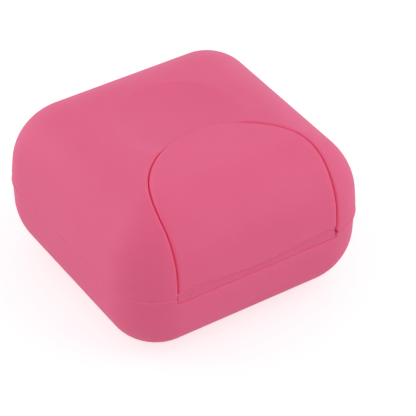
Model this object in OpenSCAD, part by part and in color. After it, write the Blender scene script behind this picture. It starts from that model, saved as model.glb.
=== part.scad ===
// Travel soap box: a square pillow-shaped box with a rear-hinged lid, held shut by a
// rounded tongue latch that is hinged low on the front and lies flush in the lid.
// Millimetres. The origin is the middle of the underside, +Z is up, -Y is the front.

/* [Body] */
// Width of the closed box at its seam, side to side
body_w = 66; // [62:0.5:80]
// Depth of the closed box at its seam, front to back, without the hinge knuckles
body_d = 64.8; // [61:0.5:80]
// Height of the closed box
body_h = 40; // [38:0.5:48]
// Height of the lid's lower edge above the table
seam_z = 19.3; // [18.5:0.1:21]
// Corner radius of the box at its seam, seen from above
corner_r = 12.5; // [11.5:0.25:16]
// Thickness of the moulded walls
wall = 1.8; // [1.4:0.1:2.2]
// Fine gap between the rim of the base and the rim of the lid
seam_gap = 0.1; // [0.05:0.05:0.3]
// How far the base stands back under the lid's edge
base_step = 0.3; // [0.1:0.05:0.6]

/* [Rounded profile] */
// Height of the lid's straight side above the seam
lid_side_h = 5.8; // [4:0.2:8]
// Inward slope of the lid's side, millimetres per millimetre of height
lid_draft = 0.082; // [0.03:0.01:0.12]
// How far the lid's rounded shoulder reaches inwards
lid_round = 13.4; // [11:0.2:15]
// Height of the base's straight side below the seam
base_side_h = 5.2; // [4:0.2:7]
// Inward slope of the base's side, millimetres per millimetre of height
base_draft = 0.028; // [0:0.01:0.06]
// How far the base's rounded bottom edge reaches inwards
base_round = 11.5; // [9:0.2:13]
// Share of the inset by which the plan's corners sharpen towards top and bottom
corner_rate = 0.72; // [0.6:0.01:0.76]

/* [Tongue latch] */
// Half the width of the tongue, which is also the radius of its round end
tongue_r = 21.4; // [19:0.2:22]
// Distance of the round end's centre behind the front of the box
tongue_back = 6.5; // [4:0.25:9]
// Width of the fine slit round the tongue
slit = 0.45; // [0.3:0.05:0.7]
// Thickness of the tongue on the front of the box
tongue_root_t = 1.8; // [1.5:0.1:2]
// Thickness of the tongue at its tip
tongue_tip_t = 1.1; // [0.9:0.05:1.4]
// Clearance between the tongue and its seat on the front of the box
seat_gap = 0.55; // [0.45:0.05:0.8]
// Clearance between the tongue's tip and the floor of its seat, room for a fingertip
tip_gap = 1.9; // [1.8:0.05:2.2]
// Wall under the tongue's seat in the lid
seat_wall = 1.4; // [1.2:0.1:1.8]
// Lowest point of the tongue's outer edge above the latch axis
tongue_edge = 1.5; // [1.4:0.1:2]
// Rise of that edge from the middle to the sides
edge_rise = 1; // [0.4:0.1:1.4]
// Height of the small catch bead on the inside of the tongue
bead_h = 0.4; // [0.2:0.05:0.4]
// Length of the catch bead
bead_l = 16; // [8:1:24]

/* [Latch hinge] */
// Depth of the latch axis behind the front of the box
latch_axis_in = 1.5; // [1.4:0.05:1.6]
// Height of the latch axis below the seam
latch_axis_down = 0.7; // [0.65:0.05:1]
// Radius of the barrel at the tongue's root
barrel_r = 1.3; // [1.15:0.05:1.35]
// Radius of the steel latch pin
latch_pin_r = 0.5; // [0.4:0.05:0.6]
// How far each end of the latch pin reaches into the base
pin_reach = 1.6; // [1.2:0.1:1.8]

/* [Lid hinge] */
// Distance of the lid's hinge axis behind the back of the box
hinge_out = 0.7; // [0.5:0.1:1.2]
// Radius of the hinge knuckles
knuckle_r = 1.7; // [1.5:0.1:2]
// Radius of the steel lid pin
lid_pin_r = 0.75; // [0.6:0.05:0.8]
// Half the length of the lid's middle knuckle
lid_knuckle_half = 8; // [5:0.5:10]
// Length of each of the base's two knuckles
base_knuckle_l = 7; // [4:0.5:8]
// End gap between neighbouring knuckles
knuckle_gap = 0.3; // [0.2:0.05:0.5]
// Height over which a knuckle's web runs out into the wall
web_h = 4.5; // [3.5:0.25:5]

/* [Finger dish] */
// Radius of the shallow round dish in the top of the lid
dish_r = 14.8; // [12:0.2:15.5]
// Distance of the dish's centre behind the middle of the lid
dish_back = 1; // [-1:0.25:2]
// Depth of the dish
dish_depth = 1.5; // [1:0.1:1.8]
// Wall under the dish
dish_wall = 1.6; // [1.2:0.1:2]

/* [Seal] */
// Width of the seal ring
seal_w = 1.8; // [1.2:0.1:2]
// Height of the seal ring
seal_h = 1.6; // [1.4:0.1:2]
// How deep the seal ring sits in the base's rim
seal_seat = 1; // [0.8:0.05:1.1]
// Thickness of the base's rim shelf and of the lid's pressing flange
flange_t = 2.1; // [1.8:0.1:2.6]
// Rim left on each side of the seal
seal_land = 0.8; // [0.6:0.1:1.2]
// Distance of the seal inside the inner face of the wall
seal_inset = 0.5; // [0.3:0.1:1]

/* [Drain rack] */
// Height of the rack's underside above the table
rack_z = 7.5; // [6.5:0.25:9]
// Thickness of the rack
rack_t = 1.8; // [1.4:0.1:2.4]
// Gap between the rack and the mouth of the base
rack_gap = 1.2; // [0.5:0.1:1.6]
// Corner radius of the rack
rack_r = 10.5; // [9:0.5:13]
// Number of drain slots
slot_n = 9; // [5:1:11]
// Width of one drain slot
slot_w = 2.6; // [2:0.1:3]
// Plain border of the rack before and behind the slots
rack_border = 6; // [4:0.5:8]
// Height of the ribs between the slots
rib_h = 1; // [0.6:0.1:1.5]
// Width of a rib at its foot
rib_w = 1.6; // [1.2:0.1:1.8]
// Radius of the four posts under the rack
post_r = 2.2; // [1.8:0.1:3]

/* [Foot] */
// Height by which the foot stands proud of the edge of the underside
foot_h = 0.4; // [0.2:0.05:0.6]
// Width of the foot rim round the underside
foot_rim = 3.2; // [2.5:0.1:4]
// Width of the groove inside that rim
foot_groove_w = 1.2; // [0.8:0.1:2]
// Depth of that groove
foot_groove = 0.5; // [0.3:0.05:0.6]

/* [Hidden] */

$fn = 96;
eps = 0.01;
// Running clearance of the steel pins in their bores
pin_fit = 0.03;
// Clearance round a turning barrel or knuckle
turn_gap = 0.3;
// Side clearance of the seal in its groove
seal_side = 0.05;
// Clearance between the seal and the lid's flange
seal_top = 0.1;
// Extra clearance of the lid over the latch's barrel
lid_extra = 0.05;
// Gap between each end of the latch pin and the end of its seat
pin_end_gap = 0.1;
// Half the width of a snap seat's throat, as a share of the pin's radius
throat = 0.8;
// Plastic left past each end of the latch pin, and below its axis
block_side = 1.4;
block_drop = 3.5;
// How far the block in front of the seal reaches under the seal's groove
block_lap = 0.4;
// How far the lid's flange ends short of the base's rim, so that the rack lifts out past it
flange_short = 0.6;
// Least wall in front of a pin seat
least_skin = 0.3;
// Width left round the dish before the lid's wall thins again
dish_rim = 1;
// Thickness and end reach of the pad that backs the hinge webs
hinge_pad = 1.6;
pad_side = 1;
// How deep a web's foot sinks into the wall
weld = 0.1;
// How far the seal's corners lie inside the wall's corners
seal_corner_in = 1.2;
// Clearance of the catch bead's groove past each end of the bead
bead_end_gap = 1;
// Height of the catch bead above the seam
bead_up = lid_side_h;
// Share of the tongue's half width at which its lower edge has risen by edge_rise
rise_share = 0.75;
// Inner face of the neck in front of the latch axis, as a share of the barrel's radius
neck_share = 0.55;
// Overlap of the neck with the tongue above it
neck_lap = 0.3;
// Place of the rack's posts, as shares of its half width and half depth
post_share_x = 0.64;
post_share_y = 0.6;
// Share of the rack's width that the slots take up
slots_share = 0.9;
// How much shorter a rib is than the slots, at each end
rib_short = 3;
// Width of a rib's top as a share of its foot
rib_taper = 0.44;
// Smallest radius that a corner sharpens to
least_r = 0.8;
// Steps round a quarter corner and up a rounded shoulder
corner_steps = 8;
shoulder_steps = 10;
// Sides of the large circle that bows the tongue's lower edge
edge_fn = 720;
// Reach of cutting shapes past the surface that they cut
past = 3;

pink = [0.87, 0.4, 0.53];
silicone = [0.93, 0.92, 0.9];
steel = [0.75, 0.76, 0.78];

half_w = body_w / 2;
half_d = body_d / 2;
base_top = seam_z - seam_gap;
lid_h = body_h - seam_z;

latch_y = -half_d + latch_axis_in;
latch_z = seam_z - latch_axis_down;
tongue_y = -half_d + tongue_back;
seat_r = tongue_r + slit;
hinge_y = half_d + hinge_out;
hinge_z = seam_z;
base_knuckle_x = lid_knuckle_half + knuckle_gap;
hinge_half = base_knuckle_x + base_knuckle_l;
seat_root = tongue_root_t + seat_gap;
seat_tip = tongue_tip_t + tip_gap;

// The seal runs round inside the walls, and further in at the front to clear the latch
seal_front = max(latch_y + barrel_r + turn_gap, -half_d + seat_root + seat_wall) + seal_land;
seal_side_x = half_w - base_step - wall - seal_inset;
seal_rear = half_d - base_step - wall - seal_inset;
seal_outer_r = corner_r - wall - seal_corner_in;
mouth_in = seal_w + seal_land;
flange_z = base_top + seal_h - seal_seat + seal_top;

rack_x = seal_side_x - mouth_in - rack_gap;
rack_front = seal_front + mouth_in + rack_gap;
rack_rear = seal_rear - mouth_in - rack_gap;
rack_mid = (rack_rear + rack_front) / 2;
rack_half = (rack_rear - rack_front) / 2;

// Distance from the middle past which the rounded corner leaves no wall before the pin seats
edge_r = corner_r - corner_rate * base_step;
before_seat = latch_axis_in - base_step - throat * latch_pin_r - least_skin;
thin_x = max(seat_r, half_w - base_step - edge_r + sqrt(edge_r * edge_r - pow(edge_r - before_seat, 2)));

bottom_in = base_step + base_draft * base_top + base_round;
foot_x = half_w - bottom_in - foot_rim;
foot_y = half_d - bottom_in - foot_rim;
// Corner that the outline has where the bottom's rounding ends
foot_r = max(corner_r - corner_rate * bottom_in, least_r);

// Points of a rounded rectangle, anticlockwise: half sizes hx and hy, corner radius r, height z
function plan_ring(hx, hy, r, z, n) = [
    for (c = [0:3], i = [0:n])
        let (a = 90 * c + 90 * i / n,
             sx = (c == 0 || c == 3) ? 1 : -1,
             sy = (c < 2) ? 1 : -1)
        [sx * (hx - r) + r * cos(a), sy * (hy - r) + r * sin(a), z]
];

// Inset, height from the seam and outward normal of a profile with a straight drafted
// side of height side, then a quarter ellipse of reach run and height rise
function profile_point(t, side, draft, run, rise) =
    let (s = side + rise * sin(t),
         nx = rise * cos(t),
         nz = draft * rise * cos(t) + run * sin(t),
         l = norm([nx, nz]))
    [draft * s + run * (1 - cos(t)), s, nx / l, nz / l];

// The same profile moved inwards by t0 on the side, growing to t1 at the flat end
function inward(p, t, t0, t1) =
    let (d = t0 + (t1 - t0) * t / 90)
    [p[0] + d * p[2], p[1] - d * p[3], p[0], d * p[2]];

function profile(side, draft, run, rise, t0, t1, n) = [
    for (i = [0:n])
        let (t = 90 * i / n)
        inward(profile_point(t, side, draft, run, rise), t, t0, t1)
];

function corner_at(inset, offset_in) = max(corner_r - corner_rate * inset - offset_in, least_r);

// Closed skin through a stack of rings with equal numbers of points, lowest first
module skin(rings) {
    m = len(rings[0]);
    top = len(rings) - 1;
    points = [for (r = rings, p = r) p];
    bottom_cap = [[for (k = [0:m - 1]) k]];
    top_cap = [[for (k = [m - 1:-1:0]) top * m + k]];
    sides = [
        for (i = [0:top - 1], k = [0:m - 1])
            let (a = i * m + k,
                 b = i * m + (k + 1) % m)
            each [[a, a + m, b + m], [a, b + m, b]]
    ];
    polyhedron(points = points, faces = concat(bottom_cap, sides, top_cap), convexity = 4);
}

// The lid's outer form moved inwards by t0 on the sides and t1 at the top, from below the seam up
module lid_form(t0 = 0, t1 = 0, drop = 0) {
    rows = profile(lid_side_h, lid_draft, lid_round, lid_h - lid_side_h, t0, t1, shoulder_steps);
    foot = t0 == 0 ? [0, 0] : [t0 - lid_draft * drop, -drop];
    skin(concat(
        [plan_ring(half_w - foot[0], half_d - foot[0], corner_at(0, foot[0]), seam_z + foot[1],
                   corner_steps)],
        [for (p = rows)
            plan_ring(half_w - p[0], half_d - p[0], corner_at(p[2], p[3]), seam_z + p[1],
                      corner_steps)]
    ));
}

// The base's outer form moved inwards by t, from the table up to above its rim by lift
module base_form(t = 0, lift = 0) {
    rows = profile(base_side_h, base_draft, base_round, base_top - base_side_h, t, t, shoulder_steps);
    skin(concat(
        [for (i = [shoulder_steps:-1:0])
            let (p = rows[i], inset = p[0] + base_step)
            plan_ring(half_w - inset, half_d - inset, corner_at(p[2] + base_step, p[3]),
                      base_top - p[1], corner_steps)],
        [plan_ring(half_w - base_step - t, half_d - base_step - t, corner_at(base_step, t),
                   base_top + lift, corner_steps)]
    ));
}

// Rounded rectangle between two corners, as a flat shape
module plate(x0, x1, y0, y1, r) {
    translate([x0 + r, y0]) square([x1 - x0 - 2 * r, y1 - y0]);
    translate([x0, y0 + r]) square([x1 - x0, y1 - y0 - 2 * r]);
    for (x = [x0 + r, x1 - r], y = [y0 + r, y1 - r])
        translate([x, y]) circle(r = r);
}

// The seal's course and everything parallel to it, grow millimetres outside its outer edge
module seal_plan(grow) {
    plate(-seal_side_x - grow, seal_side_x + grow, seal_front - grow, seal_rear + grow,
          seal_outer_r + grow);
}

// A rod along X from x0 to x1 about the axis at y and z
module rod_x(x0, x1, y, z, r) {
    translate([x0, y, z]) rotate([0, 90, 0]) cylinder(r = r, h = x1 - x0);
}

// A flat shape drawn in Y and Z, pushed along X from x0 to x1
module slab_x(x0, x1) {
    translate([x0, 0, 0]) rotate([90, 0, 90]) linear_extrude(height = x1 - x0) children();
}

// Everything in front of the tongue's outline, from z0 to z1
module tongue_prism(r, z0, z1) {
    translate([0, 0, z0]) linear_extrude(height = z1 - z0) {
        translate([-r, -half_d - past]) square([2 * r, tongue_back + past]);
        translate([0, tongue_y]) circle(r = r);
    }
}

// Point where the line from p touches a knuckle on its outer side, up = 1 for webs above the axis
function touch(p, up) =
    let (c = [hinge_y, hinge_z],
         d = c - p,
         l = norm(d),
         a = atan2(d[1], d[0]) + up * asin(knuckle_r / l),
         s = sqrt(l * l - knuckle_r * knuckle_r))
    p + s * [cos(a), sin(a)];

// One hinge knuckle with its web to the wall, up = 1 above the axis and -1 below
module knuckle(x0, x1, up) {
    root = [half_d - (up > 0 ? lid_draft * web_h : base_step + base_draft * web_h) - weld,
            hinge_z + up * web_h];
    inner = half_d - wall;
    rod_x(x0, x1, hinge_y, hinge_z, knuckle_r);
    slab_x(x0, x1)
        polygon([[inner, root[1]], root, touch(root, up), [hinge_y, hinge_z],
                 [inner, hinge_z]]);
}

// Outline of the foot rim's inner edge, inset millimetres further in
module foot_plan(inset) {
    plate(inset - foot_x, foot_x - inset, inset - foot_y, foot_y - inset,
          max(foot_r - inset, least_r));
}

// Solid left standing inside the base: rim shelf, front wall behind the latch, rack posts
module base_inside() {
    translate([0, 0, base_top - flange_t]) linear_extrude(height = flange_t + past)
        difference() {
            square([body_w + 2 * past, body_d + 2 * past], center = true);
            seal_plan(-mouth_in);
        }
    block_x = seat_r + pin_reach + block_side;
    translate([-block_x, -half_d, latch_z - block_drop])
        cube([2 * block_x, seal_front + half_d + block_lap, block_drop + 2 * past]);
    for (x = [-1, 1], y = [-1, 1])
        translate([x * post_share_x * rack_x, rack_mid + y * post_share_y * rack_half, 0])
            cylinder(r = post_r, h = rack_z);
}

// Opens the outer ends of the pin seats forwards, where a wide tongue puts them in the corners
module open_seats() {
    for (m = [0, 1])
        mirror([m, 0, 0])
            translate([thin_x, -half_d - past, latch_z - latch_pin_r - pin_fit])
                cube([seat_r + pin_reach - thin_x, latch_axis_in + past, 2 * past]);
}

module base_shell() {
    color(pink)
    difference() {
        union() {
            difference() {
                base_form();
                difference() {
                    base_form(t = wall, lift = past);
                    base_inside();
                }
            }
            for (x = [-hinge_half, base_knuckle_x])
                knuckle(x, x + base_knuckle_l, -1);
        }
        // groove for the seal
        translate([0, 0, base_top - seal_seat]) linear_extrude(height = seal_seat + past)
            difference() {
                seal_plan(seal_side);
                seal_plan(-seal_w - seal_side);
            }
        // pocket that the tongue's barrel turns in
        rod_x(-seat_r, seat_r, latch_y, latch_z, barrel_r + turn_gap);
        translate([-seat_r, -half_d - past, latch_z])
            cube([2 * seat_r, latch_axis_in + past + barrel_r + turn_gap, past]);
        // snap seats of the latch pin, open upwards
        rod_x(-seat_r - pin_reach, seat_r + pin_reach, latch_y, latch_z, latch_pin_r + pin_fit);
        translate([-seat_r - pin_reach, latch_y - throat * latch_pin_r, latch_z])
            cube([2 * (seat_r + pin_reach), 2 * throat * latch_pin_r, past]);
        if (thin_x < seat_r + pin_reach)
            open_seats();
        // room for the lid's knuckle, and the bore of the lid pin
        rod_x(-base_knuckle_x, base_knuckle_x, hinge_y, hinge_z, knuckle_r + turn_gap);
        rod_x(-hinge_half - past, hinge_half + past, hinge_y, hinge_z, lid_pin_r + pin_fit);
        // step round the foot, so that the box stands on the foot alone
        translate([0, 0, -past]) linear_extrude(height = foot_h + past)
            difference() {
                square([body_w, body_d], center = true);
                foot_plan(-foot_rim);
            }
        // groove that sets off the foot rim
        translate([0, 0, -past]) linear_extrude(height = foot_groove + past)
            difference() {
                foot_plan(0);
                foot_plan(foot_groove_w);
            }
    }
}

// Solid left standing inside the lid: flange over the seal, walls under tongue and dish, hinge pad
module lid_inside() {
    translate([0, 0, flange_z]) linear_extrude(height = flange_t)
        difference() {
            square([body_w + 2 * past, body_d + 2 * past], center = true);
            seal_plan(flange_short - mouth_in);
        }
    difference() {
        tongue_prism(seat_r + seat_wall, seam_z - past, body_h + past);
        lid_form(seat_root + seat_wall, seat_tip + seat_wall, past);
    }
    translate([0, dish_back, body_h - dish_depth - dish_wall])
        cylinder(r = dish_r + dish_rim, h = dish_depth + dish_wall + past);
    translate([-hinge_half - pad_side, half_d - wall - hinge_pad, flange_z])
        cube([2 * (hinge_half + pad_side), past, hinge_z + web_h - flange_z]);
}

module lid_shell() {
    dish_ball = (dish_r * dish_r + dish_depth * dish_depth) / (2 * dish_depth);
    color(pink)
    difference() {
        union() {
            difference() {
                lid_form();
                difference() {
                    lid_form(wall, wall, past);
                    lid_inside();
                }
            }
            knuckle(-lid_knuckle_half, lid_knuckle_half, 1);
        }
        // seat of the tongue
        difference() {
            tongue_prism(seat_r, seam_z - past, body_h + past);
            lid_form(seat_root, seat_tip, past);
        }
        // room for the barrel under the seat's lower end
        rod_x(-seat_r, seat_r, latch_y, latch_z, barrel_r + turn_gap + lid_extra);
        // groove opposite the catch bead
        bead_half = bead_l / 2 + bead_end_gap;
        rod_x(-bead_half, bead_half, -half_d + seat_root + lid_draft * bead_up, seam_z + bead_up,
              bead_h);
        // finger dish
        translate([0, dish_back, body_h - dish_depth + dish_ball]) sphere(r = dish_ball);
        // room for the base's knuckles, and the bore of the lid pin
        for (x = [-hinge_half - knuckle_gap, lid_knuckle_half])
            rod_x(x, x + base_knuckle_l + 2 * knuckle_gap, hinge_y, hinge_z, knuckle_r + turn_gap);
        rod_x(-hinge_half, hinge_half, hinge_y, hinge_z, lid_pin_r + pin_fit);
    }
}

module latch_tongue() {
    edge_z = latch_z + tongue_edge;
    rise_at = rise_share * tongue_r;
    edge_arc = (rise_at * rise_at + edge_rise * edge_rise) / (2 * edge_rise);
    neck_y = latch_y - neck_share * barrel_r;
    inner_y = -half_d + tongue_root_t;
    color(pink)
    difference() {
        union() {
            // the tongue: a slice of the lid's own outer form
            difference() {
                intersection() {
                    lid_form();
                    tongue_prism(tongue_r, seam_z - eps, body_h + past);
                }
                lid_form(tongue_root_t, tongue_tip_t, past);
                // rebate over the barrel, bowed down in the middle
                translate([0, neck_y, 0]) rotate([90, 0, 0]) linear_extrude(height = past)
                    difference() {
                        translate([-tongue_r - past, seam_z - past])
                            square([2 * (tongue_r + past), edge_z + edge_rise - seam_z + past]);
                        translate([0, edge_z + edge_arc]) circle(r = edge_arc, $fn = edge_fn);
                    }
            }
            // neck and barrel at the tongue's root
            translate([-tongue_r, neck_y, latch_z])
                cube([2 * tongue_r, inner_y - neck_y, tongue_edge + edge_rise + neck_lap]);
            rod_x(-tongue_r, tongue_r, latch_y, latch_z, barrel_r);
            // catch bead
            rod_x(-bead_l / 2, bead_l / 2, inner_y + lid_draft * bead_up, seam_z + bead_up, bead_h);
        }
        rod_x(-tongue_r - past, tongue_r + past, latch_y, latch_z, latch_pin_r + pin_fit);
    }
}

module latch_pin() {
    half = seat_r + pin_reach - pin_end_gap;
    color(steel) rod_x(-half, half, latch_y, latch_z, latch_pin_r);
}

module lid_pin() {
    color(steel) rod_x(-hinge_half, hinge_half, hinge_y, hinge_z, lid_pin_r);
}

module seal_ring() {
    color(silicone)
    translate([0, 0, base_top - seal_seat]) linear_extrude(height = seal_h)
        difference() {
            seal_plan(0);
            seal_plan(-seal_w);
        }
}

module drain_rack() {
    pitch = 2 * slots_share * rack_x / slot_n;
    slot_l = 2 * (rack_half - rack_border);
    rib_top = rib_taper * rib_w;
    color(pink)
    difference() {
        union() {
            translate([0, 0, rack_z]) linear_extrude(height = rack_t)
                plate(-rack_x, rack_x, rack_front, rack_rear, rack_r);
            for (i = [1:slot_n - 1])
                translate([(i - slot_n / 2) * pitch, rack_mid, rack_z + rack_t])
                    rotate([90, 0, 0])
                    linear_extrude(height = slot_l - 2 * rib_short, center = true)
                        polygon([[-rib_w / 2, -eps], [rib_w / 2, -eps],
                                 [rib_top / 2, rib_h], [-rib_top / 2, rib_h]]);
        }
        for (i = [0:slot_n - 1])
            translate([(i - (slot_n - 1) / 2) * pitch, rack_mid, rack_z - past])
                linear_extrude(height = rack_t + rib_h + 2 * past)
                    plate(-slot_w / 2, slot_w / 2, -slot_l / 2, slot_l / 2, slot_w / 2 - eps);
    }
}

base_shell();
lid_shell();
latch_tongue();
latch_pin();
lid_pin();
seal_ring();
drain_rack();
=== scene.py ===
"""Dressed model of a travel soap box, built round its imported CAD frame.

The box stands on its foot rim with the origin under its middle. Its front, with the
tongue latch, faces -Y, and the lid turns about a pin behind the back wall. Lengths are
in millimetres until a mesh is made, and in metres from there on, as in the frame.
"""

import logging
import math
from collections.abc import Callable
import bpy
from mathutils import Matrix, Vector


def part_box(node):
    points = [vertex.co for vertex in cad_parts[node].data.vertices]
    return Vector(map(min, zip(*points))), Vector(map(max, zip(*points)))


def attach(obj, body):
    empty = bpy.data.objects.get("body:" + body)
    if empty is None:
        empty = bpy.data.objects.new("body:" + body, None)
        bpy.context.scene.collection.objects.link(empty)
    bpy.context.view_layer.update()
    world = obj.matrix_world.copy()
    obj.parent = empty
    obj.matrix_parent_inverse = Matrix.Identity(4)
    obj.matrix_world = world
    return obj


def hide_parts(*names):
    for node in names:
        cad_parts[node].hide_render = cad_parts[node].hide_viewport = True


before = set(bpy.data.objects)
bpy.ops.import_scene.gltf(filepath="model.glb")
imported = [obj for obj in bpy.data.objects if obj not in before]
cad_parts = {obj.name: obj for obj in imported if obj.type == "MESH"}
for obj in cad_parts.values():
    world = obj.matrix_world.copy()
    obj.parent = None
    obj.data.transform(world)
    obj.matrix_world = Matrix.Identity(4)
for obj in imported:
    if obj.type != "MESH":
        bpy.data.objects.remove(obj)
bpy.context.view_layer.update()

from concurrent.futures import ThreadPoolExecutor
from dataclasses import dataclass, field
from enum import Enum
from typing import ClassVar, Self

import bpy
import numpy as np
from mathutils import Matrix, Vector

MM = 0.001

log = logging.getLogger("soap_box")

Array = np.ndarray
Field = Callable[[Array, Array, Array], Array]
Pair = tuple[float, float]
Socket = bpy.types.NodeSocket
Value = float | Socket


class Side(Enum):
    """Which way a half of the box grows from the seam."""

    LID = 1.0
    BASE = -1.0


class Part(Enum):
    """Moving parts of the box, named as the frame's bodies."""

    BASE = "base"
    LID = "lid"
    LATCH = "latch"
    RACK = "rack"


# Distances to solids: negative inside, zero on the surface


def both(a: Array, b: Array, r: float = 0.0) -> Array:
    """Common part of two solids, with its edges rounded.

    Args:
        a: Distance to the first solid.
        b: Distance to the second solid.
        r: Radius of the edge where the two surfaces meet at a right angle.

    Returns:
        Distance to the common part.
    """
    if r <= 0:
        return np.maximum(a, b)
    return np.minimum(-r, np.maximum(a, b)) + np.hypot(np.maximum(r + a, 0), np.maximum(r + b, 0))


def either(a: Array, b: Array, r: float = 0.0) -> Array:
    """Two solids joined, with a fillet of radius r where they meet."""
    return -both(-a, -b, r)


def without(a: Array, b: Array, r: float = 0.0) -> Array:
    """Solid a with solid b cut away, its new edges rounded by r."""
    return both(a, -b, r)


def soft_without(a: Array, b: Array, blend: float) -> Array:
    """Solid a less a shallow hollow b, the rim running over softly.

    Args:
        a: Distance to the solid.
        b: Distance to the hollow, whose surface meets the solid's at a flat angle.
        blend: Difference of the two distances at which the softening starts.

    Returns:
        Distance to what is left.
    """
    near = np.maximum(blend - np.abs(a + b), 0) / blend
    return np.maximum(a, -b) + near * near * blend / 4


def plate(x: Array, y: Array, low: Pair, high: Pair, r: float) -> Array:
    """Distance in a plane to a rectangle with rounded corners.

    Args:
        x: First coordinate.
        y: Second coordinate.
        low: Lowest corner.
        high: Highest corner.
        r: Corner radius.

    Returns:
        Distance to the rounded rectangle.
    """
    px = np.abs(x - (low[0] + high[0]) / 2) - (high[0] - low[0]) / 2 + r
    py = np.abs(y - (low[1] + high[1]) / 2) - (high[1] - low[1]) / 2 + r
    return np.hypot(np.maximum(px, 0), np.maximum(py, 0)) + np.minimum(np.maximum(px, py), 0) - r


def ease(v: Array, low: float, high: float) -> Array:
    """Runs smoothly from 0 at low to 1 at high."""
    share = np.clip((v - low) / (high - low), 0, 1)
    return share * share * (3 - 2 * share)


def slab(v: Array, low: float, high: float) -> Array:
    """Distance to the layer between two parallel planes."""
    return np.abs(v - (low + high) / 2) - (high - low) / 2


@dataclass(frozen=True)
class Nearby:
    """Where points lie against a rounded half of the box.

    Attributes:
        skin: Distance to the outer surface.
        turn: How far round the shoulder, 0 on the side to 1 on the flat end.
    """

    skin: Array
    turn: Array

    def inward(self, at_side: float, at_end: float) -> Array:
        """Distance to the form moved inwards, by other amounts on the side and at the end."""
        return self.skin + at_side + (at_end - at_side) * self.turn


@dataclass(frozen=True)
class Pillow:
    """Outer form of one half: a drafted straight side, then an elliptic shoulder.

    The plan is a rounded rectangle whose corners sharpen as the form draws in.
    """

    side: Side
    start: float
    side_h: float
    draft: float
    run: float
    rise: float
    step: float = 0.0
    half_w: float = 33.0
    half_d: float = 32.4
    corner: float = 12.5
    corner_rate: float = 0.72

    def inset(self, x: Array, y: Array) -> tuple[Array, Array]:
        """How far in from the seam's outline points lie, and how fast that grows.

        Args:
            x: Coordinate across the box.
            y: Coordinate front to back.

        Returns:
            The inset, and its growth for each millimetre of plan distance.
        """
        keep = 1 - self.corner_rate
        qx = np.abs(x) - (self.half_w - self.corner)
        qy = np.abs(y) - (self.half_d - self.corner)
        straight = self.corner - np.maximum(qx, qy)
        a = 2 * keep * keep - self.corner_rate**2
        b = np.maximum(keep * (qx + qy) + self.corner_rate * self.corner, 1e-6)
        c = qx * qx + qy * qy - self.corner**2
        root = -c / (b + np.sqrt(np.maximum(b * b - a * c, 0)))
        ux, uy = qx + keep * root, qy + keep * root
        at_corner = (ux > 0) & (uy > 0)
        away = np.maximum(np.hypot(ux, uy), 1e-9)
        growth = 1 / (self.corner_rate + keep * (ux + uy) / away)
        return np.where(at_corner, root, straight), np.where(at_corner, growth, 1.0)

    def near(self, x: Array, y: Array, z: Array) -> Nearby:
        """Places points against the outer form.

        Args:
            x: Coordinate across the box.
            y: Coordinate front to back.
            z: Height.

        Returns:
            Distance to the surface and the place round the shoulder.
        """
        inset, growth = self.inset(x, y)
        s = (z - self.start) * self.side.value
        inner = inset - self.step - self.draft * s
        across = (self.run - inner) / self.run
        up = (s - self.side_h) / self.rise
        reach = self.run / growth
        k0 = np.maximum(np.hypot(across, up), 1e-9)
        k1 = np.maximum(np.hypot(across / reach, up / self.rise), 1e-9)
        round_skin = k0 * (k0 - 1) / k1
        above = np.where(across < 0, (up - 1) * self.rise, round_skin)
        skin = np.where(up < 0, -inner / growth, above)
        turn = np.clip(np.arctan2(up, across) / (math.pi / 2), 0, 1)
        return Nearby(skin, turn)


@dataclass(frozen=True)
class Sizes:
    """Sizes that more than one piece of the box shares, in millimetres."""

    top: float = 40.0
    seam: float = 19.3
    rim: float = 19.2
    wall: float = 1.8
    tongue_r: float = 21.5
    tongue_y: float = -25.9
    slit: float = 0.25
    root_t: float = 1.8
    tip_t: float = 1.1
    seat_root: float = 2.35
    seat_tip: float = 3.0
    seat_wall: float = 1.4
    latch_y: float = -30.9
    latch_z: float = 18.6
    barrel_r: float = 1.1
    barrel_room: float = 1.6
    latch_pin_r: float = 0.5
    pin_reach: float = 1.6
    hinge_y: float = 33.1
    hinge_z: float = 19.3
    knuckle_r: float = 1.7
    lid_pin_r: float = 0.75
    lid_knuckle: float = 8.0
    base_knuckle: tuple[float, float] = (8.3, 15.3)
    knuckle_gap: float = 0.3
    web_h: float = 4.5
    turn_gap: float = 0.3
    pin_fit: float = 0.03
    seal_low: tuple[float, float] = (-30.4, -27.85)
    seal_high: tuple[float, float] = (30.4, 29.8)
    seal_r: float = 9.5
    seal_w: float = 1.8
    seal_seat: float = 1.0
    mouth_in: float = 2.6
    flange_t: float = 2.1
    flange_z: float = 19.9
    bead_up: float = 5.8
    bead_r: float = 0.4
    bead_l: float = 16.0

    @property
    def seat_r(self) -> float:
        """Radius of the tongue's seat, one slit outside the tongue."""
        return self.tongue_r + self.slit

    @property
    def bead_y(self) -> float:
        """Depth of the catch bead's middle."""
        return -LID_FORM.half_d + LID_FORM.draft * self.bead_up

    def tongue_plan(self, x: Array, y: Array, r: float) -> Array:
        """Distance seen from above to a tongue of half width r, open to the front."""
        return np.where(y < self.tongue_y, np.abs(x) - r, np.hypot(x, y - self.tongue_y) - r)

    def seal_plan(self, x: Array, y: Array, grow: float) -> Array:
        """Distance seen from above to the seal's outline.

        Args:
            x: Coordinate across the box.
            y: Coordinate front to back.
            grow: How far the outline is moved out, in millimetres.

        Returns:
            Distance to the outline.
        """
        low = (self.seal_low[0] - grow, self.seal_low[1] - grow)
        high = (self.seal_high[0] + grow, self.seal_high[1] + grow)
        return plate(x, y, low, high, self.seal_r + grow)

    def latch_axis(self, y: Array, z: Array) -> Array:
        """Distance from the latch's axis."""
        return np.hypot(y - self.latch_y, z - self.latch_z)

    def hinge_axis(self, y: Array, z: Array) -> Array:
        """Distance from the lid's hinge axis."""
        return np.hypot(y - self.hinge_y, z - self.hinge_z)


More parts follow.
